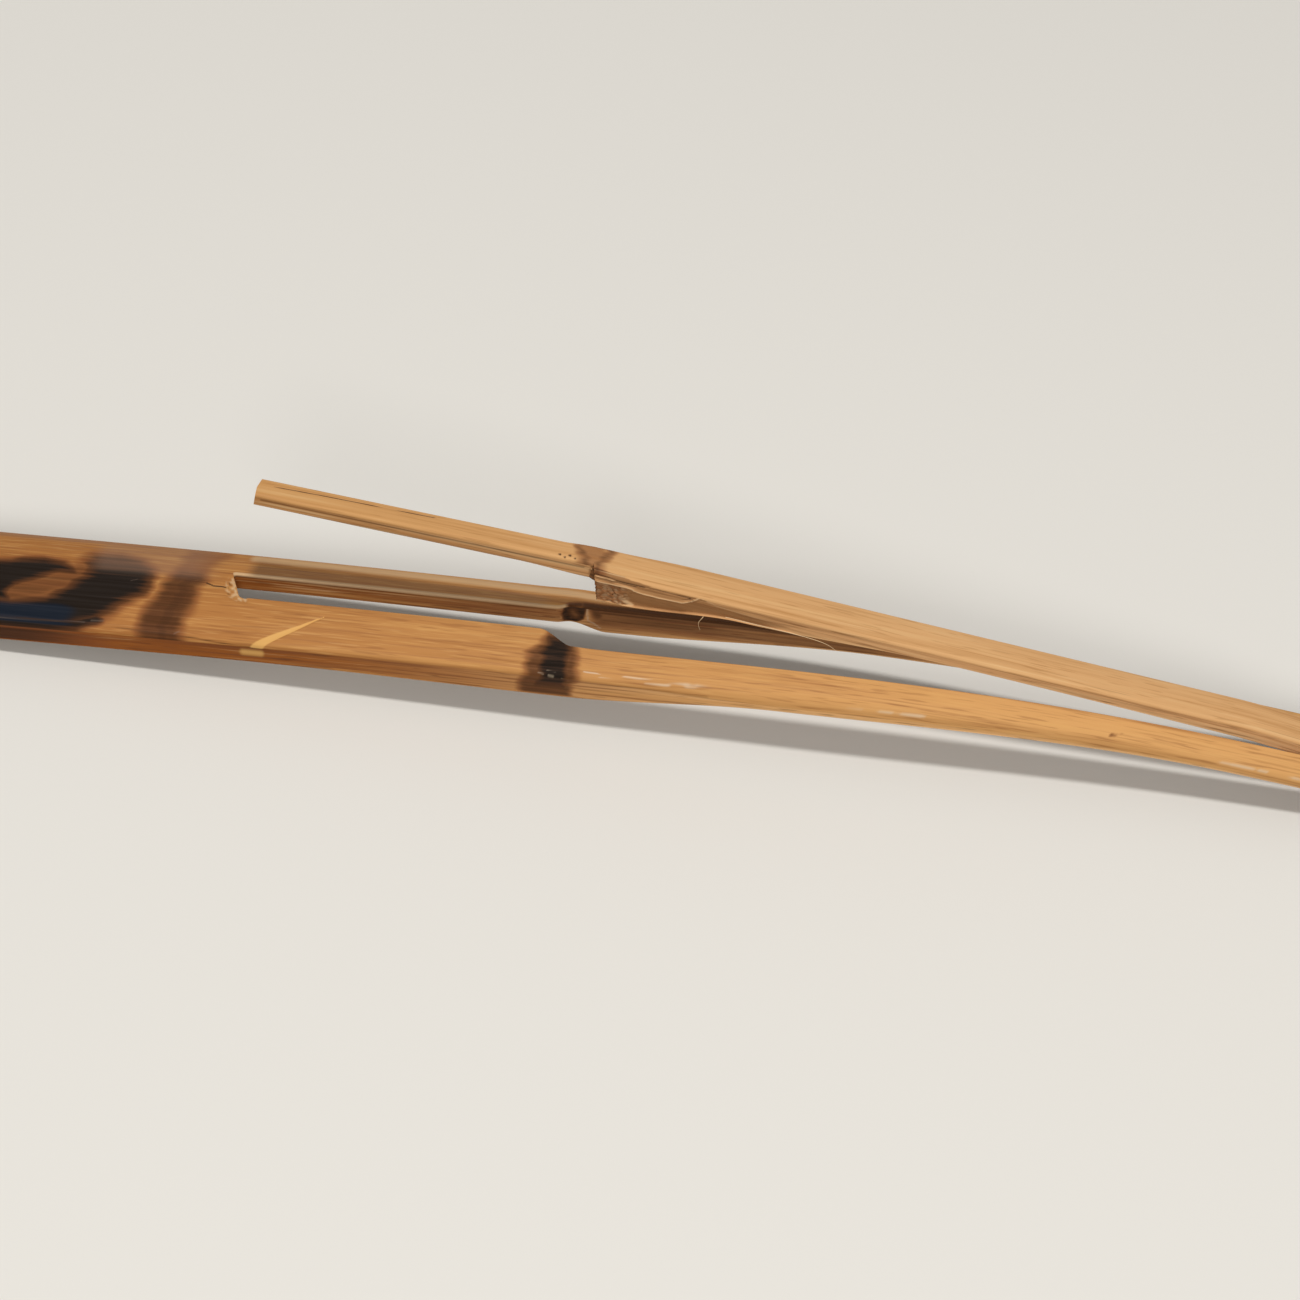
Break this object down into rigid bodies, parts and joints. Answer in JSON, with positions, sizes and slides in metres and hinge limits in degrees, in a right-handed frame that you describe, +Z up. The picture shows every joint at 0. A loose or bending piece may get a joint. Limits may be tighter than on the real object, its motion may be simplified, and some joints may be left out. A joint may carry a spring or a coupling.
{
  "type": "bamboo jaw harp",
  "caption": "Bamboo jaw harp whose tongue is cut from the same strip as its slotted frame, with arms that flex and a tongue that swings through the slot.",
  "frame": {"origin": "middle of the box of the flexed harp, at the level of the table that its two ends rest on", "axes": "+X along the strip from the grip's sawn end to the strike end, +Y across it to the far arm, +Z up, out of the culm's outer skin"},
  "size_m": [0.2392, 0.0148, 0.027],
  "materials": {
    "bamboo_skin": "oiled bamboo skin, satin, with scorched bands",
    "scraped_bamboo": "scraped bamboo, satin above and fibrous at the sides"
  },
  "bodies": {
    "frame": {"grip_end": "bamboo_skin", "near_arm": "bamboo_skin", "far_arm": "bamboo_skin"},
    "strike": {"strike_end": "bamboo_skin", "near_arm_root": "bamboo_skin", "far_arm_root": "bamboo_skin"},
    "tongue": {"tongue_blade": "scraped_bamboo", "tongue_tip": "scraped_bamboo"}
  },
  "joints": [
    {"name": "arm_flex", "type": "hinge", "parent": "frame", "child": "strike", "pos_m": [0.04024, 0, 0.01027], "axis": [0, 1, 0], "range_deg": [-10.4, 4], "stiffness_Nm_per_rad": 0.9},
    {"name": "tongue_flex", "type": "hinge", "parent": "strike", "child": "tongue", "pos_m": [0.09155, 0, 0.00574], "axis": [0, 1, 0], "range_deg": [-6, 6], "stiffness_Nm_per_rad": 0.87}
  ]
}
